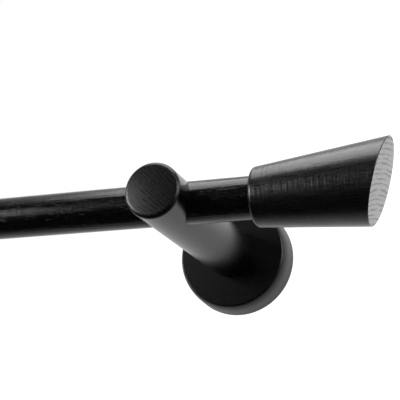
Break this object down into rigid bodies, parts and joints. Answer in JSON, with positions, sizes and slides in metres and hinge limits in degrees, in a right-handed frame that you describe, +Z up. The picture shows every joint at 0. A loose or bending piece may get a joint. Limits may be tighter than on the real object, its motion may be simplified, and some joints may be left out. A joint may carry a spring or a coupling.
{
  "type": "curtain rod",
  "caption": "Black-stained wooden curtain rod that passes through turned wall brackets with round wall discs, closed at its ends by slanted cone finials.",
  "frame": {"origin": "on the wall plane, level with the rod's axis and halfway between the two brackets' hanger bolts", "axes": "+X along the rod to the right as seen from the room, +Y into the wall, +Z up"},
  "size_m": [1.115, 0.2332, 0.086],
  "materials": {
    "black_stained_wood": "satin black stain and lacquer over fine straight grain",
    "brass": "plain turned brass",
    "zinc_plated_steel": "bright zinc plating"
  },
  "bodies": {
    "wall_brackets": {"bracket_left": "black_stained_wood", "bracket_right": "black_stained_wood", "threaded_insert_left": "brass", "threaded_insert_right": "brass", "hanger_bolt_left": "zinc_plated_steel", "hanger_bolt_right": "zinc_plated_steel"},
    "rod": {"rod": "black_stained_wood"},
    "finial_left": {"finial_left": "black_stained_wood"},
    "finial_right": {"finial_right": "black_stained_wood"}
  },
  "joints": [
    {"name": "rod_slide", "type": "slide", "parent": "wall_brackets", "child": "rod", "axis": [1, 0, 0], "range_m": [-0.038, 0.038]},
    {"name": "finial_left_pull", "type": "slide", "parent": "rod", "child": "finial_left", "axis": [-1, 0, 0], "range_m": [0, 0.028]},
    {"name": "finial_right_pull", "type": "slide", "parent": "rod", "child": "finial_right", "axis": [1, 0, 0], "range_m": [0, 0.028]}
  ]
}
